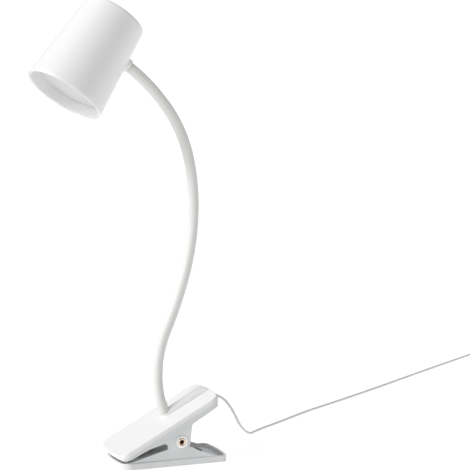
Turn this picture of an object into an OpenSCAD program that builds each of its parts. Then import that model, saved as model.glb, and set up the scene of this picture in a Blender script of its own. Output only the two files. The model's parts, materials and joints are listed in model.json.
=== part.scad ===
// Clip-on reading lamp: a sprung clamp, a bendable neck, a conical shade with a
// light-emitting module, and a thin cord with an in-line switch and a plug-in driver.
// Millimetres, +Z up. The origin lies on the clamp's flat underside, below the
// clamp's hinge and midway between its sides. The clamp's nose points to -X.

/* [Clip] */
// Width of the clip's white cover
clip_w = 58.4; // [57.6:0.2:59.2]
// Slope of the upper jaw when the clip is closed
clip_pitch = 28; // [26:0.5:30]
// Height of the cover's top plane straight above the hinge axis, from the base
plane_z = 40; // [39:0.5:42]
// Height of the hinge axis above the base
pivot_z = 20; // [19:0.5:21]
// Length of the cover ahead of that point, along the slope
cover_front = 61; // [59:0.5:62]
// Length of the cover behind that point, along the slope
cover_tail = 37.5; // [37:0.5:40]
// Height of the ridge that houses the lead
ridge_h = 4.5; // [3.5:0.1:5.5]
// Width of the lower jaw
jaw_w = 49.6; // [49:0.1:49.6]
// Distance from the hinge to the lower jaw's nose
jaw_front = 51; // [49:0.5:52]
// Distance from the hinge to the lower jaw's tail
jaw_tail = 42; // [41:0.5:44]

/* [Neck] */
// Outer diameter of the neck's sleeve
neck_d = 9; // [8.6:0.1:9.4]
// Length of the first neck section, which the clip holds
neck_first = 25; // [22:0.5:28]
// Length of each further neck section
neck_len = 48; // [46:0.5:50]
// Twist of the neck's plane about the cover's normal
neck_twist = 8; // [0:0.5:12]

/* [Shade] */
// Outer diameter of the shade at its mouth
mouth_d = 67; // [64:0.5:72]
// Outer diameter of the shade at its closed end
crown_d = 53; // [50:0.5:56]
// Length of the shade
shade_len = 80; // [78:0.5:84]
// Distance from the mouth to the neck's axis, along the shade
neck_up_shade = 52.6; // [50:0.2:54]
// Wall thickness of the shade
shade_wall = 1.2; // [1:0.1:1.4]

/* [Cord] */
// Diameter of the cord
cord_d = 2.2; // [2:0.1:2.4]
// Mean diameter of the stored coil's turns
coil_d = 26; // [26:1:28]
// Strands side by side, and strands on top of each other, in the coil
coil_strands = 4; // [3:1:5]

/* [Hidden] */
NECK_COUNT = 7;
$fn = 64;

WHITE = "#f2f2f0";
GREY = "#a9adb1";
RUBBER = "#5d6163";
STEEL = "#b9bcc0";
BRASS = "#b08d57";
ALU = "#c9ccd0";
CORD_COLOUR = "#b4b6b8";
LEAD_COLOUR = "#e4e4e0";

// Clip, measured in the sloping frame of the cover: x along the slope, z along
// its normal, with the cover's top plane at z = 0.
cover_skin = 2;
cover_side = 3.5;
edge_step = 0.8;
corner_r = 8;
nose_bow_r = 170;
tail_bow_r = 150;
frame_inset = 1.4;
lip_h = 2.6;
lip_step = 1.5;
frame_wall = 2;
frame_plate = 2;
plate_under = -cover_side - frame_plate;
pivot_drop = plane_z - pivot_z;
pivot_at = [-pivot_drop * sin(clip_pitch), -pivot_drop * cos(clip_pitch)];
ear_r = 7.8;
ear_outer = clip_w / 2 - frame_inset - lip_step;
ear_inner = ear_outer - frame_wall;
ear_back = 6.5;
ear_fillet = 2.5;
// A point of the clip's side view, from the base's axes to the slope's.
function to_slope(p) = let (z = p[1] - plane_z)
    [p[0] * cos(clip_pitch) + z * sin(clip_pitch), z * cos(clip_pitch) - p[0] * sin(clip_pitch)];
rim_tail = -8.3;
rim_ear = -9.9;
rim_nose = -7.1;
rim_front = -8.4;
throat_r = 3.1;
throat_at = [-14.5, 16.3];
throat_lip = [-11, 16];
throat_top = to_slope(throat_at) + [0, throat_r];
ridge_w = [11, 10];
function ridge_r(w) = (pow(w / 2, 2) + pow(ridge_h, 2)) / (2 * ridge_h);
ridge_len = 46;
ridge_top = 2.2;
lead_slot_w = 5;
cover_screw_at = [[-38, 16], [-38, -16], [24, 17], [24, -17]];
screw_shank_r = 1.2;
screw_fit = 0.05;
pad_t = 1.5;
pad_w = 42;
pad_lip = 2.7;

// Hinge pin and spring.
pin_r = 2.5;
pin_fit = 0.05;
washer_r = 4.7;
washer_t = 0.8;
rivet_head_r = 3.6;
rivet_head_t = 1;
rivet_hole_r = 1.4;
spring_wire_r = 0.9;
spring_r = 5;
spring_turns = 7;
spring_half = 8;
spring_top = [22, plate_under - spring_wire_r - 0.1];
spring_foot = [30, 3];
spring_steps = 16;

// Lower jaw, measured from the base.
jaw_wall = 2;
jaw_outer = ear_inner - 0.3;
jaw_floor = 2;
jaw_rim = 5;
jaw_boss_r = 6.8;
jaw_edge = [[-43.4, 5.6], [-11, 14.2], [-6, 16], [10, 14.4], [17, 10.5]];
jaw_wall_end = 33;
jaw_seat_x = -17;
jaw_bow_front_r = 110;
jaw_bow_tail_r = 160;
jaw_tail_corner = 4;

// Neck: every section is one arc, tangent to the last. A bend above zero turns
// the neck towards the clip's tail.
neck_base_x = -4.8;
neck_bends = [24.3, 30.5, -8.7, -13.1, -15.5, -26, -17.5];
sleeve_r = neck_d / 2;
sleeve_bore_r = 3.6;
core_r = 3.5;
core_bore_r = 1.6;
lead_r = 1.1;
socket_gap = 0.3;
socket_r = sleeve_r + socket_gap;
neck_swing = 30;
neck_reach = 32.5;

function neck_length(i) = i == 0 ? neck_first : neck_len;
// Direction of the neck at the start of section i, from the cover's normal.
function neck_heading(i) = i == 0 ? 0 : neck_heading(i - 1) + neck_bends[i - 1];
function arc_radius(i) = neck_length(i) / (abs(neck_bends[i]) * PI / 180);
// Start of section i, as [along the slope, along the normal].
function neck_point(i) = i == 0 ? [0, 0] : neck_point(i - 1) + neck_step(i - 1);
function neck_step(i) =
    let (r = neck_length(i) / (neck_bends[i] * PI / 180))
    let (a = neck_heading(i), b = neck_heading(i + 1))
    [r * (cos(a) - cos(b)), r * (sin(b) - sin(a))];
neck_end_heading = neck_heading(NECK_COUNT);
head_at = neck_point(NECK_COUNT)
    + neck_reach * [sin(neck_end_heading), cos(neck_end_heading)];

// Threaded ferrules at the neck's two ends.
thread_r = 4;
thread_fit = 0.05;
spigot_r = 1.5;
spigot_len = 3;
ferrule_bore_r = 1.25;
shoulder_r = 4.7;
shoulder_t = 1.2;
nut_r = 7.5;
nut_t = 2.5;
ferrule_tail = 7.2;

// Head, measured in its own frame: z along the shade's axis towards the crown,
// x towards the neck, with the neck's axis at z = 0.
mouth_z = -neck_up_shade;
crown_z = shade_len - neck_up_shade;
crown_round = 2.5;
taper = (mouth_d - crown_d) / 2 / shade_len;
liner_gap = 0.15;
liner_wall = 1.2;
liner_top = -29;
ledge_z = -43.5;
ledge_t = 1.2;
ledge_w = 1.2;
diffuser_t = 2;
board_z = -31;
board_t = 1.6;
board_r = 24;
sink_r = 26.5;
sink_t = 3;
sink_z = board_z + board_t;
fin_top = -14;
fin_t = 1.4;
fin_pitch = 5;
fin_count = 4;
bracket_x = 24.2;
bracket_t = 1.5;
bracket_w = 14;
bracket_top = 9;
bracket_foot_x = 8;
bracket_screw_at = [[13, 5.5], [13, -5.5]];
board_screw_ring = 19;
wire_hole = [3, 3];
chip_ring = 15;
chip_count = 8;
chip_size = [2.8, 3.5, 0.8];
collar_r = 5.7;

function shade_outer(z) = mouth_d / 2 - (z - mouth_z) * taper;
function shade_inner(z) = shade_outer(z) - shade_wall;

// Cord route from the clip's grommet to the switch, from the switch to the coil,
// and from the coil to the plug.
grommet_z = 51;
grommet_end = 39.95;
cord_r = cord_d / 2;
switch_x = 510;
switch_y = [304, 252];
switch_w = 19;
switch_h = 12.5;
switch_split = 5;
switch_wall = 1.6;
switch_corner = 5;
rocker_y = (switch_y[0] + switch_y[1]) / 2;
rocker_z = 10.6;
rocker_half = 8;
rocker_w = 10;
rocker_tilt = 8;
coil_at = [497, 215];
coil_half = coil_strands * cord_d / 2;
plug_y = [130, 86, 78];
plug_w = 36;
plug_h = 26;
plug_corner = 6;
plug_wall = 2;
relief_end = 148;
plug_pin_r = 2;
plug_root_r = 1.7;
plug_pin_len = 19;
plug_pin_gap = 18.6;

run_route = [
    [40, 0, 51], [44, 1.5, 49], [48, 3, 46.3], [52, 5, 42.7], [56, 7.5, 38], [60, 10.5, 32.7],
    [64, 14, 26.8], [68, 18, 21], [73, 23.5, 15.6], [79, 31, 10.7], [86, 41, 6.3], [93, 52, 3],
    [100, 62, 1.5], [108, 70, 1.1], [118, 78, 1.1], [137, 92, 1.1], [160, 110, 1.1],
    [185, 129, 1.1], [228, 158, 1.1], [287, 199, 1.1], [330, 230, 1.1], [370, 259, 1.1],
    [412, 289, 1.1], [450, 316, 1.1], [484, 340, 1.1], [495, 345, 1.1], [505, 342, 1.1],
    [510, 333, 1.1], [510, 322, 1.6], [510, 312, 4], [510, 304, 5]
];
link_route = [
    [510, 252, 5], [510, 244, 5.2], [510, 234, 6.4], [510, 224, 7.6], [510, 215, 7.7]
];
tail_route = [
    [510, 215, 1.1], [510, 203, 1.1], [510, 193, 1.7], [510, 183, 3.8], [510, 172, 8],
    [510, 161, 11.8], [510, 154, 12.8], [510, 148, 13]
];
cord_ring = 8.4;

// Route of the lead inside the clip, in the cover's sloping frame.
lead_route = [
    [neck_base_x, 0, 0], [neck_base_x, 0, -4], [neck_base_x, 0, -7.6], [-3.4, 0, -9.8],
    [0, 0, -11], [4, 0, -10.2], [8, 0, -7.6], [12, 0, -4.2], [16, 0, -2], [20, 0, -1.1],
    [24, 0, -1.2], [27.3, 0, -2.2], [30.2, 0, -3.7]
];
wire_r = 0.6;
wire_route = [[20.5, 0, 0], [16, 0.4, -1.2], [11, 0.6, -5.5], [7, 0.6, -12], [4, 0.6, -19],
    [3, 0.6, -25], [3, 0.6, sink_z]];

// Smooth swept tubes.
function unit(v) = v / norm(v);
function along(a, b, c, d, t) = 0.5 * (2 * b + (c - a) * t
    + (2 * a - 5 * b + 4 * c - d) * t * t + (3 * b - a - 3 * c + d) * t * t * t);
function smooth(p, ring) = let (n = len(p)) concat([p[0]], [
    for (i = [0:n - 2])
        let (cuts = max(1, round(norm(p[i + 1] - p[i]) / ring)))
        for (k = [1:cuts])
            along(p[max(i - 1, 0)], p[i], p[i + 1], p[min(i + 2, n - 1)], k / cuts)
]);
function tangents(p) = let (n = len(p)) [
    for (i = [0:n - 1]) unit(p[min(i + 1, n - 1)] - p[max(i - 1, 0)])
];
function carried(t, sides) = len(sides) == len(t) ? sides :
    let (d = t[len(sides)], v = sides[len(sides) - 1])
    carried(t, concat(sides, [unit(v - (v * d) * d)]));
function first_side(d) = let (up = abs(d[2]) < 0.9 ? [0, 0, 1] : [1, 0, 0])
    unit(up - (up * d) * d);

module tube(p, r, sides = 8) {
    t = tangents(p);
    s = carried(t, [first_side(t[0])]);
    count = len(p);
    points = [
        for (i = [0:count - 1])
            for (k = [0:sides - 1])
                p[i] + r * (cos(k * 360 / sides) * s[i] + sin(k * 360 / sides) * cross(t[i], s[i]))
    ];
    skin = [
        for (i = [0:count - 2])
            for (k = [0:sides - 1])
                let (a = i * sides + k, b = i * sides + (k + 1) % sides)
                for (face = [[a, a + sides, b + sides], [a, b + sides, b]]) face
    ];
    near_end = [for (k = [0:sides - 1]) k];
    far_end = [for (k = [0:sides - 1]) count * sides - 1 - k];
    polyhedron(points, concat(skin, [near_end, far_end]));
}

// Frames.
module clip_frame() {
    translate([0, 0, plane_z]) rotate([0, -clip_pitch, 0]) children();
}
module neck_frame() {
    clip_frame() translate([neck_base_x, 0, 0]) rotate([0, 0, neck_twist]) children();
}
module section_frame(i) {
    at = neck_point(i);
    neck_frame() translate([at[0], 0, at[1]]) rotate([0, neck_heading(i), 0]) children();
}
module head_frame() {
    neck_frame() translate([head_at[0], 0, head_at[1]]) rotate([0, neck_end_heading + 90, 0])
        children();
}
module across(r, half, at) {
    translate([at[0], 0, at[1]]) rotate([90, 0, 0]) cylinder(h = 2 * half, r = r, center = true);
}

// Clip.
module plan(inset) {
    offset(r = corner_r - inset)
        offset(delta = -corner_r)
            intersection() {
                translate([-cover_front, -clip_w / 2])
                    square([cover_front + cover_tail, clip_w]);
                translate([nose_bow_r - cover_front, 0]) circle(nose_bow_r, $fn = 240);
                translate([cover_tail - tail_bow_r, 0]) circle(tail_bow_r, $fn = 160);
            }
}

// A half-round ridge that starts around the neck and widens towards the tail.
module ridge() {
    r1 = ridge_r(ridge_w[0]);
    r2 = ridge_r(ridge_w[1]);
    translate([neck_base_x, 0, ridge_h - r1]) {
        sphere(r1);
        rotate([0, 90 + atan((r2 - r1) / ridge_len), 0]) cylinder(h = ridge_len, r1 = r1, r2 = r2);
    }
}

module cover() {
    color(WHITE)
        clip_frame()
            difference() {
                union() {
                    translate([0, 0, -cover_side])
                        linear_extrude(cover_side - edge_step) plan(0);
                    translate([0, 0, -cover_side]) linear_extrude(cover_side) plan(edge_step);
                    intersection() {
                        ridge();
                        translate([0, 0, -edge_step])
                            linear_extrude(ridge_h + 1) plan(edge_step);
                    }
                }
                difference() {
                    translate([0, 0, -cover_side - 1])
                        linear_extrude(cover_side + 1 - cover_skin) plan(cover_skin);
                    translate([neck_base_x, 0, -cover_side]) cylinder(h = cover_side, r = 9);
                    for (at = cover_screw_at)
                        translate([at[0], at[1], -cover_side]) cylinder(h = cover_side, r = 3);
                }
                translate([5, -lead_slot_w / 2, -cover_side - 1])
                    cube([cover_tail - 5 - 2 * cover_skin, lead_slot_w,
                        cover_side + 1 + ridge_top]);
                translate([neck_base_x, 0, -cover_side - 1])
                    cylinder(h = cover_side + 2, r = thread_r + thread_fit);
                translate([neck_base_x, 0, -shoulder_t])
                    cylinder(h = shoulder_t + ridge_h, r = shoulder_r + 0.1);
                for (at = cover_screw_at)
                    translate([at[0], at[1], -cover_side - 1])
                        cylinder(h = cover_side - 0.3, r = screw_shank_r + screw_fit);
            }
}

module cover_screws() {
    color(STEEL)
        clip_frame()
            for (at = cover_screw_at)
                translate([at[0], at[1], plate_under]) {
                    cylinder(h = -plate_under - 1.6, r = screw_shank_r);
                    difference() {
                        translate([0, 0, -1.3]) cylinder(h = 1.3, r = 2.4);
                        translate([-1.8, -0.3, -1.4]) cube([3.6, 0.6, 0.8]);
                        translate([-0.3, -1.8, -1.4]) cube([0.6, 3.6, 0.8]);
                    }
                }
}

// Side view of the upper jaw's walls, with the ears that hold the hinge.
module upper_profile() {
    difference() {
        offset(r = -ear_fillet) offset(delta = ear_fillet) {
            polygon([[-70, -cover_side], [50, -cover_side], [50, rim_tail], [4, rim_ear],
                throat_top, [-35, rim_front], [-55, rim_nose], [-70, rim_nose + 1]]);
            hull() {
                translate(pivot_at) circle(ear_r);
                translate(to_slope(throat_lip)) circle(1);
                translate([throat_top[0], -8]) square([ear_back - throat_top[0], 1]);
            }
        }
        throat_circle_in_slope();
    }
}

module throat_circle_in_slope() {
    translate(to_slope(throat_at)) circle(throat_r);
}

module upper_frame() {
    color(GREY)
        difference() {
            clip_frame() {
                translate([0, 0, plate_under]) linear_extrude(frame_plate) plan(frame_inset);
                translate([0, 0, -cover_side - lip_h])
                    linear_extrude(lip_h)
                        difference() {
                            plan(frame_inset);
                            plan(frame_inset + frame_wall);
                        }
                intersection() {
                    translate([0, 0, -40])
                        linear_extrude(40)
                            difference() {
                                plan(frame_inset + lip_step);
                                plan(frame_inset + lip_step + frame_wall);
                            }
                    rotate([90, 0, 0])
                        linear_extrude(2 * clip_w, center = true) upper_profile();
                }
                rotate([90, 0, 0])
                    linear_extrude(pad_w + 4, center = true)
                        polygon([[-53, plate_under], [-27, plate_under],
                            [-27, rim_ear + pad_t], [-53, rim_nose + 1]]);
            }
            translate([30.5, 0, grommet_z]) rotate([0, 90, 0]) cylinder(h = 7, r = 3.6);
            clip_frame() {
                across(pin_r + pin_fit, clip_w, pivot_at);
                translate([neck_base_x, 0, -10]) cylinder(h = 10, r = 9);
                translate([neck_base_x, -lead_slot_w / 2, -6])
                    cube([33 - neck_base_x, lead_slot_w, 4]);
                for (at = cover_screw_at)
                    translate([at[0], at[1], -12]) {
                        cylinder(h = 12, r = 1.5);
                        cylinder(h = 12 + plate_under, r = 2.6);
                    }
            }
            translate([25, 0, grommet_z]) rotate([0, 90, 0]) cylinder(h = 20, r = 2.1);
        }
}

module upper_pad() {
    color(RUBBER)
        clip_frame()
            rotate([90, 0, 0])
                linear_extrude(pad_w, center = true)
                    polygon([[-51, rim_nose + 0.65], [-27.5, rim_ear + pad_t - 0.1],
                        [-27.5, rim_ear - 0.2], [-50, rim_nose - pad_lip],
                        [-51, rim_nose - pad_lip + 0.7]]);
}

module pivot_rivet() {
    color(BRASS)
        difference() {
            union() {
                across(pin_r, ear_outer + washer_t, [0, pivot_z]);
                for (side = [-1, 1])
                    translate([0, side * (ear_outer + washer_t + rivet_head_t / 2), pivot_z])
                        rotate([90, 0, 0]) cylinder(h = rivet_head_t, r = rivet_head_r, center = true);
            }
            across(rivet_hole_r, clip_w, [0, pivot_z]);
        }
}

module pivot_washers() {
    color(STEEL)
        for (side = [-1, 1])
            translate([0, side * (ear_outer + washer_t / 2), pivot_z])
                rotate([90, 0, 0])
                    difference() {
                        cylinder(h = washer_t, r = washer_r, center = true);
                        cylinder(h = 2, r = pin_r + pin_fit, center = true);
                    }
}

// The spring's wire in side view: a point on the coil at angle a.
function slope_to_side(p) = [
    p[0] * cos(clip_pitch) - p[1] * sin(clip_pitch),
    plane_z + p[0] * sin(clip_pitch) + p[1] * cos(clip_pitch)
];
function spring_point(a, y) = [spring_r * cos(a), y, pivot_z + spring_r * sin(a)];
function side_angle(p) = atan2(p[1] - pivot_z, p[0]);
function side_reach(p) = norm([p[0], p[1] - pivot_z]);

module jaw_spring() {
    top = slope_to_side(spring_top);
    from = side_angle(top) + acos(spring_r / side_reach(top));
    to = side_angle(spring_foot) - acos(spring_r / side_reach(spring_foot))
        + 360 * (spring_turns + 1);
    steps = ceil((to - from) * spring_steps / 360);
    coil = [
        for (k = [0:steps])
            spring_point(from + (to - from) * k / steps, spring_half * (2 * k / steps - 1))
    ];
    color(STEEL)
        tube(concat([[top[0], -spring_half, top[1]]], coil,
            [[spring_foot[0], spring_half, spring_foot[1]]]), spring_wire_r, 6);
}

module neck_nut() {
    color(STEEL)
        clip_frame()
            translate([neck_base_x, 0, -cover_side - nut_t])
                difference() {
                    cylinder(h = nut_t, r = nut_r, $fn = 6);
                    translate([0, 0, -1]) cylinder(h = nut_t + 2, r = thread_r + thread_fit);
                }
}

module neck_ferrule() {
    color(STEEL)
        clip_frame()
            translate([neck_base_x, 0, 0])
                difference() {
                    union() {
                        translate([0, 0, -ferrule_tail]) cylinder(h = ferrule_tail, r = thread_r);
                        translate([0, 0, -shoulder_t]) cylinder(h = shoulder_t, r = shoulder_r);
                        cylinder(h = spigot_len, r = spigot_r);
                    }
                    translate([0, 0, -10]) cylinder(h = 20, r = ferrule_bore_r);
                }
}

module clip_lead() {
    color(LEAD_COLOUR) clip_frame() tube(smooth(lead_route, 3), lead_r);
}

// Soft strain relief: a plug in the tail wall and a short tapered boot.
module cord_grommet() {
    color(RUBBER)
        translate([0, 0, grommet_z])
            rotate([0, 90, 0])
                difference() {
                    union() {
                        translate([0, 0, 28.5]) cylinder(h = 6, r = 2.05);
                        translate([0, 0, 34.5])
                            cylinder(h = grommet_end - 34.5, r1 = 2.05, r2 = 1.6);
                    }
                    translate([0, 0, 20]) cylinder(h = 30, r = lead_r + 0.02);
                }
}

module lower_rounded(corner, inset) {
    offset(r = corner - inset)
        offset(delta = -corner)
            intersection() {
                translate([-jaw_front, -jaw_w / 2]) square([jaw_front + jaw_tail, jaw_w]);
                translate([jaw_bow_front_r - jaw_front, 0]) circle(jaw_bow_front_r, $fn = 160);
                translate([jaw_tail - jaw_bow_tail_r, 0]) circle(jaw_bow_tail_r, $fn = 160);
            }
}

// The jaw's plan: wide round corners at the nose and small ones at the tail.
module lower_plan(inset) {
    intersection() {
        lower_rounded(corner_r, inset);
        translate([-jaw_front, -jaw_w / 2]) square([jaw_front + 0.01, jaw_w]);
    }
    intersection() {
        lower_rounded(jaw_tail_corner, inset);
        translate([0, -jaw_w / 2]) square([jaw_tail, jaw_w]);
    }
}

// Side view of the lower jaw's walls.
module lower_profile() {
    difference() {
        union() {
            polygon(concat([[-jaw_front + 2, 0], [-jaw_front + 2, jaw_rim]], jaw_edge,
                [[jaw_wall_end, jaw_rim], [jaw_wall_end, 0]]));
            hull() {
                translate([0, pivot_z]) circle(jaw_boss_r);
                translate([-6, pivot_z / 2]) square([14, 1]);
            }
        }
        translate(throat_at) circle(throat_r);
    }
}

module lower_jaw() {
    color(GREY)
        difference() {
            union() {
                linear_extrude(jaw_floor) lower_plan(0);
                linear_extrude(jaw_rim)
                    difference() {
                        lower_plan(0);
                        lower_plan(1.8);
                    }
                intersection() {
                    linear_extrude(40) lower_plan(0.2);
                    union() {
                        for (side = [-1, 1])
                            translate([0, side * (jaw_outer - jaw_wall / 2), 0])
                                rotate([90, 0, 0])
                                    linear_extrude(jaw_wall, center = true) lower_profile();
                        rotate([90, 0, 0])
                            linear_extrude(2 * jaw_outer - jaw_wall, center = true)
                                polygon([[-41, 1], [-41, 5.7], [jaw_seat_x, 10],
                                    [jaw_seat_x, 8], [-38.5, 4], [-38.5, 1]]);
                    }
                }
                for (side = [-1, 1])
                    translate([0, side * (jaw_outer - 6), pivot_z])
                        rotate([90, 0, 0]) cylinder(h = 10, r = 4.6, center = true);
                translate([25, spring_half - 3, 1]) cube([8, 6, 1.05]);
            }
            across(pin_r + pin_fit, clip_w, [0, pivot_z]);
        }
}

module lower_pad() {
    color(RUBBER)
        rotate([90, 0, 0])
            linear_extrude(pad_w, center = true)
                polygon([[-40.8, 5.83], [jaw_seat_x, 10.1], [jaw_seat_x, 11.9], [-40.8, 7.65]]);
}

// Neck.
module arc_rod(i, r) {
    turn = abs(neck_bends[i]);
    radius = arc_radius(i);
    mirror([neck_bends[i] < 0 ? 1 : 0, 0, 0])
        translate([radius, 0, 0])
            rotate([90, 0, 180])
                rotate_extrude(angle = turn, $fn = 96) translate([radius, 0]) circle(r);
}

module ball_cavity() {
    rotate([180, 0, 0])
        cylinder(h = 5, r1 = core_bore_r, r2 = core_bore_r + 5 * tan(neck_swing));
}

// One section of a neck layer: it starts with a ball on its joint, and ends in
// a socket around the next joint.
module neck_layer(i, outer_r, bore_r, end_r) {
    next = neck_point(i + 1);
    difference() {
        section_frame(i)
            difference() {
                union() {
                    arc_rod(i, outer_r);
                    if (i > 0) sphere(outer_r);
                }
                if (bore_r > 0) arc_rod(i, bore_r);
                if (bore_r > 0 && i > 0) sphere(bore_r);
                if (bore_r > 0 && i > 0) ball_cavity();
            }
        if (i < NECK_COUNT - 1)
            neck_frame() translate([next[0], 0, next[1]]) sphere(end_r);
    }
}

module neck_sleeve(i) {
    color(WHITE) neck_layer(i - 1, sleeve_r, sleeve_bore_r, socket_r);
}

module neck_core(i) {
    color(STEEL) neck_layer(i - 1, core_r, core_bore_r, socket_r);
}

module neck_lead(i) {
    color(LEAD_COLOUR) neck_layer(i - 1, lead_r, 0, lead_r + 0.4);
}

// Head.
module shade_body(shrink, top) {
    translate([0, 0, mouth_z - 1])
        cylinder(h = top - mouth_z + 1, r1 = shade_outer(mouth_z - 1) - shrink,
            r2 = shade_outer(top) - shrink);
}

module shade() {
    steps = 6;
    top_r = shade_outer(crown_z - crown_round);
    edge = [
        for (k = [0:steps])
            let (a = 90 * k / steps)
            [top_r - crown_round + crown_round * cos(a),
                crown_z - crown_round + crown_round * sin(a)]
    ];
    inner_top = crown_z - shade_wall;
    color(WHITE)
        head_frame()
            difference() {
                rotate_extrude($fn = 128)
                    polygon(concat([[shade_inner(mouth_z), mouth_z], [mouth_d / 2, mouth_z]], edge,
                        [[0, crown_z], [0, inner_top],
                            [shade_inner(inner_top) - 1, inner_top],
                            [shade_inner(inner_top - 1), inner_top - 1]]));
                translate([20, 0, 0]) rotate([0, 90, 0]) cylinder(h = 20, r = thread_r + 0.1);
            }
}

module shade_liner() {
    gap = liner_gap;
    low = mouth_z + 0.8;
    color(WHITE)
        head_frame()
            rotate_extrude($fn = 128)
                polygon([
                    [shade_inner(low) - gap, low],
                    [shade_inner(liner_top) - gap, liner_top],
                    [shade_inner(liner_top) - gap - liner_wall, liner_top],
                    [shade_inner(ledge_z) - gap - liner_wall, ledge_z],
                    [shade_inner(ledge_z) - gap - liner_wall - ledge_w, ledge_z],
                    [shade_inner(ledge_z) - gap - liner_wall - ledge_w, ledge_z - ledge_t],
                    [shade_inner(ledge_z - ledge_t) - gap - liner_wall, ledge_z - ledge_t],
                    [shade_inner(low) - gap - liner_wall, low]
                ]);
}

module diffuser() {
    r = shade_inner(ledge_z + diffuser_t) - liner_gap - liner_wall - 0.1;
    color("#f7f7f2", 0.8)
        head_frame() translate([0, 0, ledge_z]) cylinder(h = diffuser_t, r = r, $fn = 128);
}

module led_board() {
    color("#e9ece9")
        head_frame()
            translate([0, 0, board_z])
                difference() {
                    cylinder(h = board_t, r = board_r);
                    for (k = [0:2])
                        rotate(30 + 120 * k)
                            translate([board_screw_ring, 0, -1]) cylinder(h = 4, r = 1.4);
                }
}

module led_chips() {
    color("#f3d96b")
        head_frame()
            for (k = [0:chip_count])
                rotate(k * 360 / chip_count)
                    translate([k < chip_count ? chip_ring : 0, 0, board_z - chip_size[2] / 2])
                        cube(chip_size, center = true);
}

module small_screw(length) {
    cylinder(h = length, r = screw_shank_r);
    difference() {
        translate([0, 0, -1.3]) cylinder(h = 1.3, r = 2.2);
        translate([-1.6, -0.3, -1.4]) cube([3.2, 0.6, 0.8]);
        translate([-0.3, -1.6, -1.4]) cube([0.6, 3.2, 0.8]);
    }
}

module board_screws() {
    color(STEEL)
        head_frame()
            for (k = [0:2])
                rotate(30 + 120 * k)
                    translate([board_screw_ring, 0, board_z]) small_screw(board_t + 2.4);
}

module heat_sink() {
    fin_reach = sink_r - 2;
    color(ALU)
        head_frame()
            difference() {
                union() {
                    translate([0, 0, sink_z]) cylinder(h = sink_t, r = sink_r);
                    for (k = [-fin_count:fin_count]) {
                        y = k * fin_pitch;
                        half = sqrt(pow(fin_reach, 2) - y * y);
                        ahead = abs(y) < bracket_w / 2 + 1.5 ? -2 : half;
                        translate([-half, y - fin_t / 2, sink_z + sink_t - 0.5])
                            cube([half + ahead, fin_t, fin_top - sink_z - sink_t + 0.5]);
                    }
                }
                translate([wire_hole[0], 0, sink_z - 1]) cylinder(h = sink_t + 2, r = wire_hole[1]);
                for (k = [0:2])
                    rotate(30 + 120 * k)
                        translate([board_screw_ring, 0, sink_z - 1])
                            cylinder(h = 1 + 2.6, r = screw_shank_r + screw_fit);
                for (at = bracket_screw_at)
                    translate([at[0], at[1], sink_z + 0.4])
                        cylinder(h = sink_t, r = screw_shank_r + screw_fit);
            }
}

module head_bracket() {
    foot_z = sink_z + sink_t;
    color(STEEL)
        head_frame()
            difference() {
                union() {
                    translate([bracket_x, -bracket_w / 2, foot_z])
                        cube([bracket_t, bracket_w, bracket_top - foot_z]);
                    translate([bracket_foot_x, -bracket_w / 2, foot_z])
                        cube([bracket_x + bracket_t - bracket_foot_x, bracket_w, bracket_t]);
                    intersection() {
                        translate([bracket_x + bracket_t / 2, 0, 0])
                            rotate([0, 90, 0]) cylinder(h = 6, r = 6.5);
                        shade_body(shade_wall + 0.05, crown_z);
                    }
                }
                translate([20, 0, 0]) rotate([0, 90, 0]) cylinder(h = 20, r = thread_r + 0.1);
                for (at = bracket_screw_at)
                    translate([at[0], at[1], foot_z - 1]) cylinder(h = 4, r = 1.4);
            }
}

module bracket_screws() {
    color(STEEL)
        head_frame()
            for (at = bracket_screw_at)
                translate([at[0], at[1], sink_z + sink_t + bracket_t])
                    rotate([180, 0, 0]) small_screw(bracket_t + 2.4);
}

module head_collar() {
    color(WHITE)
        head_frame()
            difference() {
                translate([24, 0, 0])
                    rotate([0, 90, 0]) cylinder(h = neck_reach - 24, r = collar_r);
                shade_body(-0.02, crown_z + 5);
                rotate([0, 90, 0]) cylinder(h = 60, r = thread_r + thread_fit);
            }
}

module head_ferrule() {
    inner_end = 20.5;
    color(STEEL)
        head_frame()
            rotate([0, 90, 0])
                difference() {
                    union() {
                        translate([0, 0, inner_end])
                            cylinder(h = neck_reach - 0.1 - inner_end, r = thread_r);
                        cylinder(h = neck_reach + spigot_len, r = spigot_r);
                    }
                    translate([0, 0, -1]) cylinder(h = 60, r = ferrule_bore_r);
                    translate([0, 0, -1]) cylinder(h = inner_end + 1, r = 3);
                }
}

module head_nut() {
    color(STEEL)
        head_frame()
            translate([bracket_x - nut_t, 0, 0])
                rotate([0, 90, 0])
                    difference() {
                        cylinder(h = nut_t, r = nut_r, $fn = 6);
                        translate([0, 0, -1]) cylinder(h = nut_t + 2, r = thread_r + thread_fit);
                    }
}

// The lead's end inside the ferrule, and its two wires down to the board.
module head_leads() {
    color(LEAD_COLOUR)
        head_frame() {
            for (side = [-1, 1])
                tube([for (p = smooth(wire_route, 4)) [p[0], side * (p[1] + 0.62), p[2]]], wire_r);
            translate([20.5, 0, 0])
                rotate([0, 90, 0]) cylinder(h = neck_reach - 20.5, r = lead_r);
        }
}

// Cord, switch and plug.
module cord_run() {
    color(CORD_COLOUR) tube(smooth(run_route, cord_ring), cord_r);
}

module cord_link() {
    color(CORD_COLOUR) tube(smooth(link_route, cord_ring), cord_r);
}

module cord_coil() {
    color(CORD_COLOUR)
        translate([coil_at[0], coil_at[1], 0])
            rotate_extrude()
                translate([coil_d / 2 - coil_half, 0]) square(2 * coil_half);
}

module cord_tail() {
    color(CORD_COLOUR) tube(smooth(tail_route, cord_ring), cord_r);
}

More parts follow.
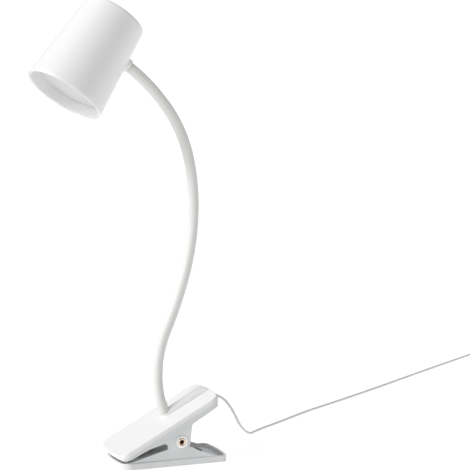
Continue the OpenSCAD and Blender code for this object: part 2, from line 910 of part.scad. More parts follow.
module rounded_bar(size, corner) {
    for (turned = [0, 1])
        translate([turned ? corner : 0, turned ? 0 : corner, 0])
            cube([size[0] - 2 * (turned ? corner : 0), size[1] - 2 * (turned ? 0 : corner),
                size[2]]);
    for (x = [corner, size[0] - corner])
        for (y = [corner, size[1] - corner])
            translate([x, y, 0]) cylinder(h = size[2], r = corner);
}

module switch_shell(low, high, cavity_low, cavity_high) {
    length = switch_y[0] - switch_y[1];
    inner = [switch_w - 2 * switch_wall, length - 2 * switch_wall, cavity_high - cavity_low];
    translate([switch_x - switch_w / 2, switch_y[1], 0])
        difference() {
            translate([0, 0, low])
                rounded_bar([switch_w, length, high - low], switch_corner);
            translate([switch_wall, switch_wall, cavity_low])
                rounded_bar(inner, switch_corner - switch_wall);
            translate([switch_w / 2, -1, switch_split])
                rotate([-90, 0, 0]) cylinder(h = length + 2, r = cord_r + 0.02);
        }
}

module switch_base() {
    color(WHITE) switch_shell(0, switch_split, switch_wall, switch_split + 1);
}

module switch_cover() {
    color(WHITE)
        difference() {
            union() {
                switch_shell(switch_split, switch_h, switch_split - 1, switch_h - switch_wall);
                for (side = [-1, 1])
                    translate([switch_x + side * (rocker_w / 2 + 1.35), rocker_y, rocker_z])
                        cube([2.1, 5, 4], center = true);
            }
            translate([switch_x - rocker_w / 2 - 0.3, rocker_y - 9, switch_split])
                cube([rocker_w + 0.6, 18, 20]);
            translate([switch_x - 8, rocker_y, rocker_z])
                rotate([0, 90, 0]) cylinder(h = 16, r = 1.05);
        }
}

module switch_rocker() {
    color(WHITE)
        translate([switch_x, rocker_y, rocker_z])
            rotate([rocker_tilt, 0, 0]) {
                rotate([90, 0, 90])
                    linear_extrude(rocker_w, center = true)
                        polygon([[-rocker_half, -1.5], [0, -3.4], [rocker_half, -1.5],
                            [rocker_half, 3.1], [0, 2], [-rocker_half, 3.1]]);
                rotate([0, 90, 0]) cylinder(h = rocker_w + 3, r = 1, center = true);
            }
}

module plug_bar(y_low, y_high, inset) {
    translate([switch_x - plug_w / 2 + inset, y_high, inset])
        rotate([90, 0, 0])
            rounded_bar([plug_w - 2 * inset, plug_h - 2 * inset, y_high - y_low],
                plug_corner - inset);
}

module plug_shell() {
    color(WHITE)
        difference() {
            plug_bar(plug_y[1], plug_y[0], 0);
            plug_bar(plug_y[1] - 1, plug_y[0] - plug_wall, plug_wall);
            translate([switch_x, plug_y[0] + 1, plug_h / 2])
                rotate([90, 0, 0]) cylinder(h = plug_wall + 2, r = 3.1);
        }
}

module plug_front() {
    color(WHITE)
        difference() {
            plug_bar(plug_y[2], plug_y[1], 0);
            plug_bar(plug_y[2] + plug_wall, plug_y[1] + 1, plug_wall);
            for (side = [-1, 1])
                translate([switch_x + side * plug_pin_gap / 2, plug_y[1] + 1, plug_h / 2])
                    rotate([90, 0, 0]) cylinder(h = 20, r = plug_root_r + 0.02);
        }
}

module plug_pins() {
    inside = plug_y[1] - plug_y[2] + 3;
    color(BRASS)
        for (side = [-1, 1])
            translate([switch_x + side * plug_pin_gap / 2, plug_y[2], plug_h / 2])
                rotate([90, 0, 0]) {
                    translate([0, 0, -inside]) cylinder(h = inside + 1, r = plug_root_r);
                    cylinder(h = plug_pin_len - plug_pin_r, r = plug_pin_r);
                    translate([0, 0, plug_pin_len - plug_pin_r]) sphere(plug_pin_r);
                }
}

module plug_relief() {
    color(WHITE)
        translate([switch_x, plug_y[0] - plug_wall, plug_h / 2])
            rotate([-90, 0, 0])
                difference() {
                    union() {
                        translate([0, 0, -1.5]) cylinder(h = 1.5, r = 4.2);
                        cylinder(h = plug_wall, r = 3.08);
                        translate([0, 0, plug_wall])
                            cylinder(h = relief_end - plug_y[0], r1 = 3.6, r2 = 1.7);
                    }
                    translate([0, 0, -2])
                        cylinder(h = relief_end - plug_y[0], r = cord_r - 0.1);
                }
}

// Mains-to-low-voltage driver: a board with a transformer, a capacitor and a coil.
module driver_board() {
    color("#2f6b46")
        translate([switch_x, 0, 0]) {
            translate([-15, 91, 7.5]) cube([30, 34, 1.6]);
            translate([-6, 100, 9]) cube([13, 14, 10]);
            translate([-11, 97, 9]) cylinder(h = 9, r = 3);
            translate([11.5, 118, 9]) cylinder(h = 6, r = 2.5);
        }
}

cover();
cover_screws();
upper_frame();
upper_pad();
pivot_rivet();
pivot_washers();
jaw_spring();
neck_nut();
neck_ferrule();
clip_lead();
cord_grommet();
lower_jaw();
lower_pad();
for (i = [1:NECK_COUNT])
    neck_sleeve(i);
for (i = [1:NECK_COUNT])
    neck_core(i);
for (i = [1:NECK_COUNT])
    neck_lead(i);
head_collar();
head_ferrule();
head_nut();
head_bracket();
bracket_screws();
shade();
shade_liner();
diffuser();
led_board();
led_chips();
board_screws();
heat_sink();
head_leads();
cord_run();
cord_link();
cord_coil();
cord_tail();
switch_base();
switch_cover();
switch_rocker();
plug_relief();
plug_shell();
plug_front();
plug_pins();
driver_board();
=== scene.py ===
import json
import math
import bmesh
import bpy
from mathutils import Matrix, Vector


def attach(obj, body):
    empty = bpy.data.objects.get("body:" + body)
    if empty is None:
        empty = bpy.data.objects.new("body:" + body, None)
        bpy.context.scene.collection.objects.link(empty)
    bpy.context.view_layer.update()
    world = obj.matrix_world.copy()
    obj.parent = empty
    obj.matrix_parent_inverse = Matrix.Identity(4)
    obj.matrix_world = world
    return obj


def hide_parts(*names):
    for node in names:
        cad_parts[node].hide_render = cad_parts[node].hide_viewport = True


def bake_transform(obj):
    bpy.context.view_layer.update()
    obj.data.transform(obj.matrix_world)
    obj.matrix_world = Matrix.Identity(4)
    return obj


MM = 0.001
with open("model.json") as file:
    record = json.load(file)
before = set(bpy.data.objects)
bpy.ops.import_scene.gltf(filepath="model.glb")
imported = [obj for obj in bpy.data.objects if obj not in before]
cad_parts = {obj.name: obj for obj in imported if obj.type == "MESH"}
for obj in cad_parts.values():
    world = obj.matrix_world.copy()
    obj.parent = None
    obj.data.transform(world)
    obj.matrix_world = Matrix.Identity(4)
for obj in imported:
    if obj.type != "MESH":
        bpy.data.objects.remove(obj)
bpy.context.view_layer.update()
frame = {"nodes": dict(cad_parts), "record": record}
nodes = frame["nodes"]
joints = {j["name"]: j for j in frame["record"]["behaviour"]["joints"]}


def mm(*p):
    return Vector(p) * MM


# ---------------------------------------------------------------- camera

CAMERA_AT = mm(-424.4, -1204.2, 311.8)
CAMERA_AZIMUTH = math.radians(21.8)
CAMERA_ELEVATION = math.radians(5.6)


def make_camera():
    data = bpy.data.cameras.new("camera")
    data.sensor_width = 36
    data.lens = 120
    data.clip_start = 0.05
    camera = bpy.data.objects.new("camera", data)
    bpy.context.collection.objects.link(camera)
    turn = Matrix.Rotation(-CAMERA_AZIMUTH, 4, "Z")
    tilt = Matrix.Rotation(math.pi / 2 - CAMERA_ELEVATION, 4, "X")
    camera.matrix_world = Matrix.Translation(CAMERA_AT) @ turn @ tilt
    bpy.context.scene.camera = camera


make_camera()

# ---------------------------------------------------------------- materials


def shader(name, colour, rough=0.5, metallic=0.0, variation=0.03, patch=60.0, grain=2500.0,
           bump=0.06, rough_swing=0.06, **sockets):
    """A surface with a faint uneven tone, an uneven gloss and a fine moulded grain."""
    m = bpy.data.materials.new(name)
    m.use_nodes = True
    tree = m.node_tree
    bsdf = tree.nodes["Principled BSDF"]
    bsdf.inputs["Metallic"].default_value = metallic
    for key, value in sockets.items():
        bsdf.inputs[key.replace("_", " ")].default_value = value
    place = tree.nodes.new("ShaderNodeTexCoord")
    tone = tree.nodes.new("ShaderNodeTexNoise")
    tone.inputs["Scale"].default_value = patch
    tone.inputs["Detail"].default_value = 5
    mix = tree.nodes.new("ShaderNodeMix")
    mix.data_type = "RGBA"
    mix.inputs["A"].default_value = [c * (1 - variation) for c in colour] + [1]
    mix.inputs["B"].default_value = [min(1, c * (1 + variation)) for c in colour] + [1]
    fine = tree.nodes.new("ShaderNodeTexNoise")
    fine.inputs["Scale"].default_value = grain
    fine.inputs["Detail"].default_value = 3
    gloss = tree.nodes.new("ShaderNodeMapRange")
    gloss.inputs["To Min"].default_value = max(0.02, rough - rough_swing)
    gloss.inputs["To Max"].default_value = min(1, rough + rough_swing)
    relief = tree.nodes.new("ShaderNodeBump")
    relief.inputs["Strength"].default_value = bump
    relief.inputs["Distance"].default_value = 0.0002
    link = tree.links.new
    link(place.outputs["Object"], tone.inputs["Vector"])
    link(place.outputs["Object"], fine.inputs["Vector"])
    link(tone.outputs["Fac"], mix.inputs["Factor"])
    link(mix.outputs["Result"], bsdf.inputs["Base Color"])
    link(tone.outputs["Fac"], gloss.inputs["Value"])
    link(gloss.outputs["Result"], bsdf.inputs["Roughness"])
    link(fine.outputs["Fac"], relief.inputs["Height"])
    link(relief.outputs["Normal"], bsdf.inputs["Normal"])
    return m


MAT = {
    "white_plastic": shader("white_plastic", (0.83, 0.835, 0.83), 0.42, bump=0.08),
    "grey_plastic": shader("grey_plastic", (0.76, 0.77, 0.778), 0.46, bump=0.12),
    "pad_rubber": shader("pad_rubber", (0.62, 0.625, 0.63), 0.7, variation=0.12, bump=0.3),
    "brass": shader("brass", (0.8, 0.66, 0.56), 0.3, 1.0, 0.08, 300, bump=0.05),
    "bright_steel": shader("bright_steel", (0.82, 0.82, 0.82), 0.18, 1.0, 0.04, 300, bump=0.03),
    "steel": shader("steel", (0.62, 0.63, 0.64), 0.35, 1.0, 0.08, 200, 1800, 0.08),
    "lead_sheath": shader("lead_sheath", (0.78, 0.78, 0.76), 0.5),
    "cord_rubber": shader("cord_rubber", (0.66, 0.67, 0.67), 0.55, bump=0.1),
    "white_metal": shader("white_metal", (0.83, 0.83, 0.825), 0.38, variation=0.012, patch=35,
                          grain=1500, bump=0.05, Coat_Weight=0.12, Coat_Roughness=0.3),
    # reflector and diffuser: their own pale colour, darkened further as painted shade for the
    # shade's recessed mouth
    "reflector": shader("reflector", (0.76, 0.76, 0.755), 0.35, bump=0.03),
    "diffuser": shader("diffuser", (0.66, 0.67, 0.66), 0.5, bump=0.2),
    "board_white": shader("board_white", (0.8, 0.82, 0.8), 0.4),
    "led_yellow": shader("led_yellow", (0.85, 0.68, 0.15), 0.3, variation=0.1, patch=900),
    "heat_sink": shader("heat_sink", (0.7, 0.71, 0.72), 0.4, 1.0, 0.05, 150),
    "cord": shader("cord", (0.7, 0.705, 0.71), 0.55, variation=0.05, patch=150, bump=0.15),
    "gloss_white": shader("gloss_white", (0.84, 0.84, 0.83), 0.3, bump=0.06),
    "rocker_white": shader("rocker_white", (0.78, 0.78, 0.77), 0.28, bump=0.04),
    "plated_brass": shader("plated_brass", (0.78, 0.77, 0.74), 0.22, 1.0, 0.05, 400, bump=0.04),
    "board_green": shader("board_green", (0.02, 0.12, 0.06), 0.4, variation=0.15, patch=400),
    "neck_white": shader("neck_white", (0.76, 0.77, 0.75), 0.5, variation=0.012, patch=50,
                         bump=0.06, Sheen_Weight=0.08, Sheen_Roughness=0.5),
    "neck_steel": shader("neck_steel", (0.5, 0.5, 0.5), 0.4, 1.0, 0.1, 200, 1500, 0.15),
}


def paint_piece(obj, slot):
    obj.data.materials.clear()
    obj.data.materials.append(MAT[slot])


def finish_piece(obj, body, slot):
    paint_piece(obj, slot)
    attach(obj, body)
    return obj


def paint_nodes():
    for part in frame["record"]["subparts"]:
        data = nodes[part["node"]].data
        data.materials.clear()
        data.materials.append(MAT[part["material_slot"]])


paint_nodes()

# ---------------------------------------------------------------- mesh helpers


def mesh_object(name, points, faces, smooth=True):
    data = bpy.data.meshes.new(name)
    data.from_pydata([tuple(p) for p in points], [], faces)
    bm = bmesh.new()
    bm.from_mesh(data)
    bmesh.ops.recalc_face_normals(bm, faces=bm.faces)
    bm.to_mesh(data)
    bm.free()
    for poly in data.polygons:
        poly.use_smooth = smooth
    data.validate()
    obj = bpy.data.objects.new(name, data)
    bpy.context.collection.objects.link(obj)
    return obj


def loft(name, rings, close_rings=False, cap_start=False, cap_end=False):
    """A skin over rings of equal count. close_rings joins the last ring to the first."""
    count = len(rings[0])
    points = [p for ring in rings for p in ring]
    faces = []
    spans = len(rings) if close_rings else len(rings) - 1
    for i in range(spans):
        a, b = i * count, (i + 1) % len(rings) * count
        for k in range(count):
            n = (k + 1) % count
            faces.append((a + k, a + n, b + n, b + k))
    if cap_start:
        faces.append(tuple(reversed(range(count))))
    if cap_end:
        faces.append(tuple(range(len(points) - count, len(points))))
    return mesh_object(name, points, faces)


def lathe(name, profile, place, segments):
    """Turns a closed outline of (radius, height) pairs round a placing matrix's Z axis."""
    rings = []
    for r, z in profile:
        ring = []
        for k in range(segments):
            a = 2 * math.pi * k / segments
            ring.append(place @ mm(r * math.cos(a), r * math.sin(a), z))
        rings.append(ring)
    return loft(name, rings, close_rings=True)


# ---------------------------------------------------------------- frames of the CAD

CLIP_PITCH = 28
PLANE_Z = 40
NECK_BASE_X = -4.8
NECK_TWIST = 8
NECK_LENGTHS = [25, 48, 48, 48, 48, 48, 48]
NECK_BENDS = [24.3, 30.5, -8.7, -13.1, -15.5, -26, -17.5]
NECK_REACH = 32.5


def turn(degrees, axis):
    return Matrix.Rotation(math.radians(degrees), 4, axis)


def shift(*p):
    return Matrix.Translation(mm(*p))


clip_frame = shift(0, 0, PLANE_Z) @ turn(-CLIP_PITCH, "Y")
neck_frame = clip_frame @ shift(NECK_BASE_X, 0, 0) @ turn(NECK_TWIST, "Z")


def neck_sections():
    """Start point and heading of every neck section, and of the neck's end."""
    x, z, heading = 0.0, 0.0, 0.0
    out = [(x, z, heading)]
    for length, bend in zip(NECK_LENGTHS, NECK_BENDS):
        r = length / math.radians(bend)
        a, b = math.radians(heading), math.radians(heading + bend)
        x += r * (math.cos(a) - math.cos(b))
        z += r * (math.sin(b) - math.sin(a))
        heading += bend
        out.append((x, z, heading))
    return out


SECTIONS = neck_sections()
end_x, end_z, end_heading = SECTIONS[-1]
head_frame = (
    neck_frame
    @ shift(end_x + NECK_REACH * math.sin(math.radians(end_heading)), 0,
            end_z + NECK_REACH * math.cos(math.radians(end_heading)))
    @ turn(end_heading + 90, "Y")
)


def neck_place(section, t):
    """Placing matrix on the neck's centre line, t from 0 to 1 along a section."""
    x, z, heading = SECTIONS[section]
    length, bend = NECK_LENGTHS[section], NECK_BENDS[section] * t
    if t > 0:
        r = length * t / math.radians(bend)
        a, b = math.radians(heading), math.radians(heading + bend)
        x += r * (math.cos(a) - math.cos(b))
        z += r * (math.sin(b) - math.sin(a))
    return neck_frame @ shift(x, 0, z) @ turn(heading + bend, "Y")


# ---------------------------------------------------------------- cord

CORD_D = 2.2
COIL_AT = (497, 215)
COIL_RADII = (16.3, 14.1, 11.9, 9.7)
COIL_HEIGHTS = (7.7, 5.5, 3.3, 1.1)
CORD_RUN = [
    (40, 0, 51), (44, 1.5, 49), (48, 3, 46.3), (52, 5, 42.7), (56, 7.5, 38), (60, 10.5, 32.7),
    (64, 14, 26.8), (68, 18, 21), (73, 23.5, 15.6), (79, 31, 10.7), (86, 41, 6.3), (93, 52, 3),
    (100, 62, 1.5), (108, 70, 1.1), (118, 78, 1.1), (137, 92, 1.1), (160, 110, 1.1),
    (185, 129, 1.1), (228, 158, 1.1), (287, 199, 1.1), (330, 230, 1.1), (370, 259, 1.1),
    (412, 289, 1.1), (450, 316, 1.1), (484, 340, 1.1), (495, 345, 1.1), (505, 342, 1.1),
    (510, 333, 1.1), (510, 322, 1.6), (510, 312, 4), (510, 304, 5), (510, 291, 5),
    (510, 278, 5), (510, 265, 5), (510, 252, 5), (511, 244, 5.2), (512.5, 234, 6.6),
    (513.3, 224, 7.7),
]
CORD_TAIL = [
    (513.3, 205, 1.1), (512, 195, 1.4), (510.5, 184, 3.4), (510, 172, 8), (510, 161, 11.8),
    (510, 154, 12.8), (510, 148, 13),
]
STEP_ANGLE = 60


def coil_points():
    """Sixteen neat turns: each layer runs across, and the next one back below it."""
    order = []
    for layer, z in enumerate(COIL_HEIGHTS):
        radii = COIL_RADII if layer % 2 == 0 else COIL_RADII[::-1]
        order += [(r, z) for r in radii]
    out = []
    per_turn = 24
    for i, (r, z) in enumerate(order):
        after = order[min(i + 1, len(order) - 1)]
        for k in range(per_turn):
            angle = 360 * k / per_turn
            late = max(0.0, (angle - (360 - STEP_ANGLE)) / STEP_ANGLE)
            ease = late * late * (3 - 2 * late)
            radius, height = r + (after[0] - r) * ease, z + (after[1] - z) * ease
            a = math.radians(-angle)
            out.append((COIL_AT[0] + radius * math.cos(a), COIL_AT[1] + radius * math.sin(a),
                        height))
    last = order[-1]
    return out + [(COIL_AT[0] + last[0], COIL_AT[1], last[1])]


def catmull(points, spacing):
    """Points along a smooth curve through the given ones."""
    p = [Vector(q) for q in points]
    out = [p[0]]
    for i in range(len(p) - 1):
        a, b, c, d = p[max(i - 1, 0)], p[i], p[i + 1], p[min(i + 2, len(p) - 1)]
        cuts = max(1, round((c - b).length / spacing))
        for k in range(1, cuts + 1):
            t = k / cuts
            out.append(0.5 * (2 * b + (c - a) * t + (2 * a - 5 * b + 4 * c - d) * t * t
                              + (3 * b - a - 3 * c + d) * t ** 3))
    return out


def make_cord():
    route = catmull(CORD_RUN + coil_points() + CORD_TAIL, 3.0)
    curve = bpy.data.curves.new("cord", "CURVE")
    curve.dimensions = "3D"
    curve.bevel_depth = CORD_D / 2 * MM
    curve.bevel_resolution = 4
    curve.use_fill_caps = True
    spline = curve.splines.new("POLY")
    spline.points.add(len(route) - 1)
    for point, at in zip(spline.points, route):
        point.co = (*(at * MM), 1)
    cord = bpy.data.objects.new("cord", curve)
    bpy.context.collection.objects.link(cord)
    finish_piece(cord, "upper_jaw", "cord")
    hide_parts("cord_run", "cord_link", "cord_coil", "cord_tail")
    tie, boot = make_cord_tie(), make_plug_relief()


def make_cord_tie():
    """A narrow wrapped band that holds the coil's strands together."""
    half, thick, width, round_r = 4.75, 0.45, 3.2, 1.6
    middle = (COIL_RADII[0] + COIL_RADII[-1]) / 2
    middle_z = (COIL_HEIGHTS[0] + COIL_HEIGHTS[-1]) / 2
    rings = []
    for side, grow in ((-1, 0), (-1, thick), (1, thick), (1, 0)):
        ring = []
        for quarter in range(4):
            cx = (half - round_r) * (1 if quarter in (0, 3) else -1)
            cz = (half - round_r) * (1 if quarter in (0, 1) else -1)
            for k in range(7):
                a = math.radians(90 * quarter + 15 * k)
                r = round_r + grow
                x, z = cx + r * math.cos(a), cz + r * math.sin(a)
                low = max(z + middle_z, 0.05 + 0.1 * grow)
                ring.append(mm(COIL_AT[0] - middle + x, COIL_AT[1] + side * width / 2, low))
        rings.append(ring)
    tie = loft("cord_tie", rings, close_rings=True)
    return finish_piece(tie, "upper_jaw", "cord_rubber")


def make_plug_relief():
    """A tapered boot with moulded ribs."""
    end_x, end_y, mid_z = CORD_TAIL[-1]
    base_y, bore = 126.5, 1.15
    length = end_y - base_y
    ribs, rib_step, rib_taper = 5, 3.1, 0.32
    outline = [(bore, 0), (4.2, 0), (4.2, 1.4), (3.1, 1.6), (3.1, 3.4), (3.65, 3.6)]
    for k in range(ribs):
        y = 5.2 + k * rib_step
        r = 3.5 - k * rib_taper
        outline += [(r, y), (r - 0.1, y + 0.9), (r - 0.75, y + 1.2), (r - 0.8, y + 2.2),
                    (r - 0.35, y + 2.6)]
    outline += [(1.75, length - 0.4), (1.6, length), (bore, length)]
    place = shift(end_x, base_y, mid_z) @ turn(-90, "X")
    boot = lathe("plug_boot", outline, place, 40)
    finish_piece(boot, "upper_jaw", "cord_rubber")
    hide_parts("plug_relief")
    return boot


make_cord()

# ---------------------------------------------------------------- neck

NECK_LAYERS = (("sleeve", 4.5, "neck_white", 32), ("core", 3.45, "neck_steel", 24),
               ("lead", 1.1, "lead_sheath", 12))
BEND_REACH = 0.30
HALF_STEPS = 14


def make_neck():
    """Each smooth piece runs from the middle of one section to the middle of the next, across the
    joint between them."""
    for layer, radius, slot, sides in NECK_LAYERS:
        for joint in range(6):
            start = 0.0 if joint == 0 else 0.5
            stop = 1.0 if joint == 5 else 0.5
            stations = [(joint, start + (1 - start) * k / HALF_STEPS)
                        for k in range(HALF_STEPS)]
            stations += [(joint + 1, stop * k / HALF_STEPS) for k in range(HALF_STEPS + 1)]
            rings = []
            for section, t in stations:
                place = neck_place(section, t)
                rings.append([
                    place @ mm(radius * math.cos(2 * math.pi * k / sides),
                               radius * math.sin(2 * math.pi * k / sides), 0)
                    for k in range(sides)
                ])
            piece = loft(f"neck_{layer}_{joint + 1}", rings, cap_start=joint == 0,
                         cap_end=joint == 5)
            for poly in piece.data.polygons:
                if len(poly.vertices) > 4:
                    poly.use_smooth = False
            paint_piece(piece, slot)
            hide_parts(f"neck_{layer}_{joint + 1}")
            if joint == 5:
                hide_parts(f"neck_{layer}_7")
            neck_place(joint, 1 - BEND_REACH).translation
            neck_place(joint + 1, BEND_REACH).translation
            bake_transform(piece)


make_neck()

# ---------------------------------------------------------------- clip cover

COVER_HALF_W = 29.2
COVER_NOSE = -61
COVER_TAIL = 37.5
NOSE_BOW_R = 170
TAIL_BOW_R = 150
CORNER_R = 8
RIDGE_H = 4.5
RIDGE_W = (11, 10)
RIDGE_LEN = 46
RIDGE_DROP = 21
RIDGE_END = COVER_TAIL - 0.8
RIDGE_FOOT = 0.8
COVER_SIDE = 3.5
COVER_SKIN = 2.1
COVER_WALL = 2
UNDER_EDGE = 0.25
NECK_HOLE_R = 4.6
NECK_HOLE_SPAN = (-8, 12)
SHARP_OVER = 40
SOFTEN_OVER = 35
WELD_WITHIN = 0.00002
EDGE_R = 0.85
# The line that the rings of the cover close on, from x to x.
SPINE = (-52.0, 34.8)
# How near the spine the fine rings start, as a share of the way in from the edge.
FINE_FROM = 0.75
FINE_RINGS = 28
COARSE_RINGS = 9


def arc(cx, cy, r, a, b, steps):
    """Points along an arc from angle a up to, but not at, angle b."""
    return [(cx + r * math.cos(math.radians(a + (b - a) * k / steps)),
             cy + r * math.sin(math.radians(a + (b - a) * k / steps))) for k in range(steps)]


def cover_outline(inset):
    """The cover's plan: bowed ends, straight sides and round corners, drawn in by inset."""
    nose_x, tail_x = COVER_NOSE + NOSE_BOW_R, COVER_TAIL - TAIL_BOW_R
    corner_y = COVER_HALF_W - CORNER_R
    front_x = nose_x - math.sqrt((NOSE_BOW_R - CORNER_R) ** 2 - corner_y ** 2)
    back_x = tail_x + math.sqrt((TAIL_BOW_R - CORNER_R) ** 2 - corner_y ** 2)
    front_a = math.degrees(math.atan2(corner_y, front_x - nose_x))
    back_a = math.degrees(math.atan2(corner_y, back_x - tail_x))
    side_y = COVER_HALF_W - inset
    half = arc(nose_x, 0, NOSE_BOW_R - inset, 180, front_a, 10)
    half += arc(front_x, corner_y, CORNER_R - inset, front_a, 90, 10)
    half += [(front_x + (back_x - front_x) * k / 100, side_y) for k in range(100)]
    half += arc(back_x, corner_y, CORNER_R - inset, 90, back_a, 16)
    half += arc(tail_x, 0, TAIL_BOW_R - inset, back_a, 0, 40)
    half += [(tail_x + TAIL_BOW_R - inset, 0)]
    return half + [(x, -y) for x, y in half[-2:0:-1]]


def ridge_height(x, y):
    """The ridge behind the neck: round, soft at its foot, and falling away at the tail."""
    radii = [((w / 2) ** 2 + RIDGE_H ** 2) / (2 * RIDGE_H) for w in RIDGE_W]
    along = max(0.0, x - NECK_BASE_X)
    away = abs(y) if along else math.hypot(x - NECK_BASE_X, y)
    r = radii[0] + (radii[1] - radii[0]) * along / RIDGE_LEN
    if away >= r:
        return 0.0
    h = math.sqrt(r * r - away * away) - (r - RIDGE_H)
    h = h if h > RIDGE_FOOT else max(0.0, h + RIDGE_FOOT) ** 2 / (4 * RIDGE_FOOT)
    past = max(0.0, (x - RIDGE_DROP) / (RIDGE_END - RIDGE_DROP))
    return h * max(0.0, 1 - past * past) ** 0.6


def make_cover():
    """A closed shell skinned from the middle of its top, over the edge and down the side, to
    the middle of its underside."""
    def to_spine(ring, share):
        out = []
        for x, y, z in ring:
            spine = max(SPINE[0], min(SPINE[1], x))
            out.append((x + (spine - x) * share, y * (1 - share), z))
        return out

    edge = [(EDGE_R * (1 - math.cos(math.radians(a))), EDGE_R * (math.sin(math.radians(a)) - 1))
            for a in range(90, -1, -15)]
    top = [(x, y, 0) for x, y in cover_outline(EDGE_R)]
    shares = [1 - (1 - FINE_FROM) * k / FINE_RINGS for k in range(FINE_RINGS + 1)]
    shares += [FINE_FROM * (1 - k / (COARSE_RINGS + 1)) for k in range(1, COARSE_RINGS + 1)]
    rings = []
    for share in shares:
        rings.append([(x, y, ridge_height(x, y)) for x, y, z in to_spine(top, share)])
    rings += [[(x, y, z) for x, y in cover_outline(inset)] for inset, z in edge]
    rings += [[(x, y, z) for x, y in cover_outline(inset)] for inset, z in
              ((0, -COVER_SIDE + UNDER_EDGE), (UNDER_EDGE, -COVER_SIDE),
               (COVER_WALL, -COVER_SIDE), (COVER_WALL, -COVER_SKIN))]
    rings += [to_spine(rings[-1], share) for share in (0.5, 1)]
    shell = loft("clip_cover", [[clip_frame @ mm(*p) for p in ring] for ring in rings])
    bm = bmesh.new()
    bm.from_mesh(shell.data)
    bmesh.ops.remove_doubles(bm, verts=bm.verts, dist=WELD_WITHIN)
    bm.to_mesh(shell.data)
    bm.free()
    drill(shell, neck_frame, NECK_HOLE_R, *NECK_HOLE_SPAN)
    shell.data.set_sharp_from_angle(angle=math.radians(SHARP_OVER))
    finish_piece(shell, "upper_jaw", "white_plastic")
    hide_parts("cover")


def drill(obj, place, radius, low, high, sides=64):
    """Cuts a round hole along the Z axis of a placing matrix."""
    rings = [[place @ mm(radius * math.cos(2 * math.pi * k / sides),
                         radius * math.sin(2 * math.pi * k / sides), z) for k in range(sides)]
             for z in (low, high)]
    cutter = loft("cutter", rings, cap_start=True, cap_end=True)
    cut = obj.modifiers.new("hole", "BOOLEAN")
    cut.object = cutter
    cut.operation = "DIFFERENCE"
    cut.solver = "EXACT"
    apply_modifiers(obj)
    bpy.data.objects.remove(cutter)


def apply_modifiers(obj):
    graph = bpy.context.evaluated_depsgraph_get()
    made = bpy.data.meshes.new_from_object(obj.evaluated_get(graph))
    obj.modifiers.clear()
    obj.data = made


def soften(obj, width):
    """Small rounded edges on a sharp-edged piece."""
    edge = obj.modifiers.new("soft_edges", "BEVEL")
    edge.width = width * MM
    edge.segments = 2
    edge.limit_method = "ANGLE"
    edge.angle_limit = math.radians(SOFTEN_OVER)
    edge.harden_normals = True
    edge.use_clamp_overlap = True


make_cover()

# ---------------------------------------------------------------- hinge

PIVOT_Z = 20
EAR_Y = 26.3
SPRING_R = 5
SPRING_HALF = 8
SPRING_TURNS = 7
WIRE_R = 0.9


def sweep(name, path, radius, sides=12):
    """A round wire along a path, with a turning frame carried from point to point."""
    path = [Vector(p) for p in path]
    rings, side = [], None
    for i, at in enumerate(path):
        ahead = (path[min(i + 1, len(path) - 1)] - path[max(i - 1, 0)]).normalized()
        if side is None:
            side = Vector((0, 0, 1)) if abs(ahead.z) < 0.9 else Vector((1, 0, 0))
        side = (side - side.dot(ahead) * ahead).normalized()
        other = ahead.cross(side)
        rings.append([(at + radius * (math.cos(2 * math.pi * k / sides) * side
                                      + math.sin(2 * math.pi * k / sides) * other)) * MM
                      for k in range(sides)])
    return loft(name, rings, cap_start=True, cap_end=True)


def make_spring():
    pitch = math.radians(CLIP_PITCH)
    tip_x, tip_z = 22, -6.5
    top = (tip_x * math.cos(pitch) - tip_z * math.sin(pitch),
           PLANE_Z + tip_x * math.sin(pitch) + tip_z * math.cos(pitch))
    foot = (30, 3)

    def bearing(p):
        return math.atan2(p[1] - PIVOT_Z, p[0]), math.hypot(p[0], p[1] - PIVOT_Z)

    a, reach = bearing(top)
    start = a + math.acos(SPRING_R / reach)
    a, reach = bearing(foot)
    stop = a - math.acos(SPRING_R / reach) + 2 * math.pi * (SPRING_TURNS + 1)
    steps = 240
    path = [(top[0], -SPRING_HALF, top[1])]
    for k in range(steps + 1):
        a = start + (stop - start) * k / steps
        path.append((SPRING_R * math.cos(a), SPRING_HALF * (2 * k / steps - 1),
                     PIVOT_Z + SPRING_R * math.sin(a)))
    path.append((foot[0], SPRING_HALF, foot[1]))
    spring = sweep("hinge_spring", path, WIRE_R)
    paint_piece(spring, "steel")
    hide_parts("jaw_spring")
    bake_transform(spring)


def make_rivet():
    """A hollow rivet whose two ends are rolled over the washers."""
    face = EAR_Y + 0.8
    head = [(2.5, face), (3.25, face), (3.6, face + 0.3), (3.6, face + 0.65),
            (3.3, face + 0.95), (2.75, face + 1), (2.2, face + 0.8), (1.75, face + 0.2),
            (1.4, face - 0.9)]
    profile = head + [(r, -z) for r, z in head[::-1]]
    place = shift(0, 0, PIVOT_Z) @ turn(90, "X")
    rivet = lathe("hinge_rivet", profile, place, 48)
    finish_piece(rivet, "upper_jaw", "brass")
    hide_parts("pivot_rivet")


make_spring()
make_rivet()

# ---------------------------------------------------------------- shade

MOUTH_R = 33.5
CROWN_R = 26.5
MOUTH_Z = -52.6
CROWN_Z = 27.4
SHADE_WALL = 1.2
RIM_CUT = 0.35
CROWN_ROUND = 2.5
CENTRE_R = 0.02
SHADE_HOLE_R = 4.1
SHADE_HOLE_FROM = 22
SHADE_HOLE_DEEP = 14
TAPER = (MOUTH_R - CROWN_R) / (CROWN_Z - MOUTH_Z)


def shade_radius(z):
    return MOUTH_R - (z - MOUTH_Z) * TAPER


